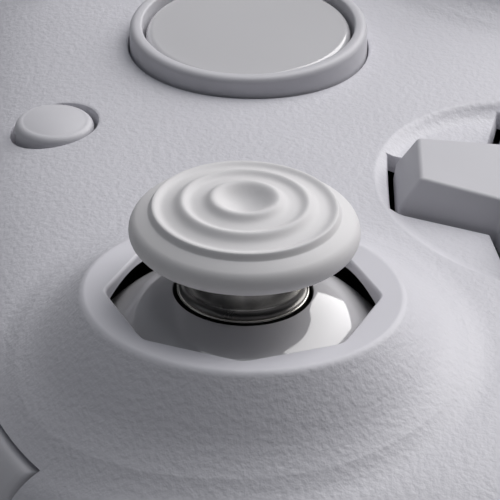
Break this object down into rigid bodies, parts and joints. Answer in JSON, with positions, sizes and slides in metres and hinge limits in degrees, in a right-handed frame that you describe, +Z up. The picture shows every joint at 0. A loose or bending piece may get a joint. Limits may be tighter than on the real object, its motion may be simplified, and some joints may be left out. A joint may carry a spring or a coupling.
{
  "type": "gamepad controller",
  "caption": "Handheld gamepad with tilting thumbsticks in octagonal gates, a rocking direction pad, round press buttons, bumpers and pull triggers.",
  "frame": {"origin": "on the table plane, at the flat of the belly, under the middle of the body", "axes": "+X to the player's right, +Y away from the player, +Z up out of the face"},
  "size_m": [0.156, 0.1005, 0.0522],
  "materials": {
    "shell_plastic": "fine moulded grain",
    "cap_plastic": "soft matte",
    "button_plastic": "satin",
    "dome_plastic": "glossy",
    "neck_metal": "polished nickel",
    "black_plastic": "matte",
    "grey_rubber": "matte",
    "board": "solder mask",
    "steel": "bright"
  },
  "bodies": {
    "casing": {"top_shell": "shell_plastic", "bottom_shell": "shell_plastic", "left_stick_frame": "steel", "left_stick_sensors": "board", "left_stick_switch": "black_plastic", "left_stick_base": "black_plastic", "right_stick_frame": "steel", "right_stick_sensors": "board", "right_stick_switch": "black_plastic", "right_stick_base": "black_plastic", "dpad_post": "black_plastic", "dpad_membrane": "grey_rubber", "face_membrane": "grey_rubber", "home_ring": "shell_plastic", "small_switches": "black_plastic", "bumper_pins": "steel", "trigger_pins": "steel", "trigger_sensors": "black_plastic", "main_board": "board", "usb_port": "steel", "battery": "black_plastic", "battery_tray": "black_plastic", "left_motor": "steel", "right_motor": "steel", "case_screws": "steel", "board_screws": "steel"},
    "left_yoke": {"left_stick_yoke": "black_plastic"},
    "left_pivot": {"left_stick_pivot": "black_plastic"},
    "left_stick": {"left_stick_cap": "cap_plastic", "left_stick_neck": "neck_metal", "left_stick_dome": "dome_plastic", "left_stick_shaft": "black_plastic"},
    "left_bail": {"left_stick_bail": "black_plastic"},
    "right_yoke": {"right_stick_yoke": "black_plastic"},
    "right_pivot": {"right_stick_pivot": "black_plastic"},
    "right_stick": {"right_stick_cap": "cap_plastic", "right_stick_neck": "neck_metal", "right_stick_dome": "dome_plastic", "right_stick_shaft": "black_plastic"},
    "right_bail": {"right_stick_bail": "black_plastic"},
    "dpad_ball": {"dpad_ball": "steel"},
    "dpad": {"dpad": "button_plastic"},
    "south_button": {"south_button": "button_plastic"},
    "east_button": {"east_button": "button_plastic"},
    "west_button": {"west_button": "button_plastic"},
    "north_button": {"north_button": "button_plastic"},
    "home_button": {"home_button": "dome_plastic"},
    "select_button": {"select_button": "button_plastic"},
    "start_button": {"start_button": "button_plastic"},
    "left_bumper": {"left_bumper": "button_plastic"},
    "left_trigger": {"left_trigger": "button_plastic"},
    "left_weight": {"left_weight": "steel"},
    "right_bumper": {"right_bumper": "button_plastic"},
    "right_trigger": {"right_trigger": "button_plastic"},
    "right_weight": {"right_weight": "steel"}
  },
  "joints": [
    {"name": "left_stick_updown", "type": "hinge", "parent": "casing", "child": "left_yoke", "pos_m": [-0.05, 0.01724, 0.02885], "axis": [1, 0, 0], "range_deg": [-13, 13], "stiffness_Nm_per_rad": 0.08},
    {"name": "left_stick_leftright", "type": "hinge", "parent": "left_yoke", "child": "left_pivot", "pos_m": [-0.05, 0.01724, 0.02885], "axis": [0, 0.9997, 0.0227], "range_deg": [-13, 13], "stiffness_Nm_per_rad": 0.08},
    {"name": "left_stick_click", "type": "slide", "parent": "left_pivot", "child": "left_stick", "axis": [0, 0.0227, -0.9997], "range_m": [0, 0.0005], "stiffness_N_per_m": 6000},
    {"name": "left_bail_follow", "type": "hinge", "parent": "casing", "child": "left_bail", "pos_m": [-0.05, 0.01724, 0.02885], "axis": [0, 0.9997, 0.0227], "range_deg": [-13, 13]},
    {"name": "right_stick_updown", "type": "hinge", "parent": "casing", "child": "right_yoke", "pos_m": [0.0241, -0.00902, 0.02694], "axis": [1, 0, 0], "range_deg": [-13, 13], "stiffness_Nm_per_rad": 0.08},
    {"name": "right_stick_leftright", "type": "hinge", "parent": "right_yoke", "child": "right_pivot", "pos_m": [0.0241, -0.00902, 0.02694], "axis": [0, 0.9889, 0.1487], "range_deg": [-13, 13], "stiffness_Nm_per_rad": 0.08},
    {"name": "right_stick_click", "type": "slide", "parent": "right_pivot", "child": "right_stick", "axis": [0, 0.1487, -0.9889], "range_m": [0, 0.0005], "stiffness_N_per_m": 6000},
    {"name": "right_bail_follow", "type": "hinge", "parent": "casing", "child": "right_bail", "pos_m": [0.0241, -0.00902, 0.02694], "axis": [0, 0.9889, 0.1487], "range_deg": [-13, 13]},
    {"name": "dpad_updown", "type": "hinge", "parent": "casing", "child": "dpad_ball", "pos_m": [-0.0241, -0.00953, 0.03031], "axis": [1, 0, 0], "range_deg": [-3.5, 3.5], "stiffness_Nm_per_rad": 0.6},
    {"name": "dpad_leftright", "type": "hinge", "parent": "dpad_ball", "child": "dpad", "pos_m": [-0.0241, -0.00953, 0.03031], "axis": [0, 0.9889, 0.1487], "range_deg": [-3.5, 3.5], "stiffness_Nm_per_rad": 0.6},
    {"name": "south_button_press", "type": "slide", "parent": "casing", "child": "south_button", "axis": [0, 0, -1], "range_m": [0, 0.0012], "stiffness_N_per_m": 900},
    {"name": "east_button_press", "type": "slide", "parent": "casing", "child": "east_button", "axis": [0, 0, -1], "range_m": [0, 0.0012], "stiffness_N_per_m": 900},
    {"name": "west_button_press", "type": "slide", "parent": "casing", "child": "west_button", "axis": [0, 0, -1], "range_m": [0, 0.0012], "stiffness_N_per_m": 900},
    {"name": "north_button_press", "type": "slide", "parent": "casing", "child": "north_button", "axis": [0, 0, -1], "range_m": [0, 0.0012], "stiffness_N_per_m": 900},
    {"name": "home_button_press", "type": "slide", "parent": "casing", "child": "home_button", "axis": [0, 0, -1], "range_m": [0, 0.0006], "stiffness_N_per_m": 2000},
    {"name": "select_button_press", "type": "slide", "parent": "casing", "child": "select_button", "axis": [0, 0, -1], "range_m": [0, 0.0006], "stiffness_N_per_m": 2000},
    {"name": "start_button_press", "type": "slide", "parent": "casing", "child": "start_button", "axis": [0, 0, -1], "range_m": [0, 0.0006], "stiffness_N_per_m": 2000},
    {"name": "left_bumper_press", "type": "hinge", "parent": "casing", "child": "left_bumper", "pos_m": [-0.022, 0.03978, 0.03], "axis": [0, 0, 1], "range_deg": [0, 2.5], "stiffness_Nm_per_rad": 2},
    {"name": "left_trigger_pull", "type": "hinge", "parent": "casing", "child": "left_trigger", "pos_m": [-0.0395, 0.0355, 0.0225], "axis": [-1, 0, 0], "range_deg": [0, 17], "stiffness_Nm_per_rad": 0.25, "springref_deg": -8.59},
    {"name": "left_weight_spin", "type": "hinge", "parent": "casing", "child": "left_weight", "pos_m": [-0.059, -0.022, 0.017], "axis": [1, 0, 0], "continuous": true},
    {"name": "right_bumper_press", "type": "hinge", "parent": "casing", "child": "right_bumper", "pos_m": [0.022, 0.03978, 0.03], "axis": [0, 0, -1], "range_deg": [0, 2.5], "stiffness_Nm_per_rad": 2},
    {"name": "right_trigger_pull", "type": "hinge", "parent": "casing", "child": "right_trigger", "pos_m": [0.0395, 0.0355, 0.0225], "axis": [-1, 0, 0], "range_deg": [0, 17], "stiffness_Nm_per_rad": 0.25, "springref_deg": -8.59},
    {"name": "right_weight_spin", "type": "hinge", "parent": "casing", "child": "right_weight", "pos_m": [0.059, -0.022, 0.017], "axis": [1, 0, 0], "continuous": true}
  ],
  "couplings": [
    {"joint": "left_bail_follow", "follows": "left_stick_leftright", "ratio": 1},
    {"joint": "right_bail_follow", "follows": "right_stick_leftright", "ratio": 1}
  ]
}
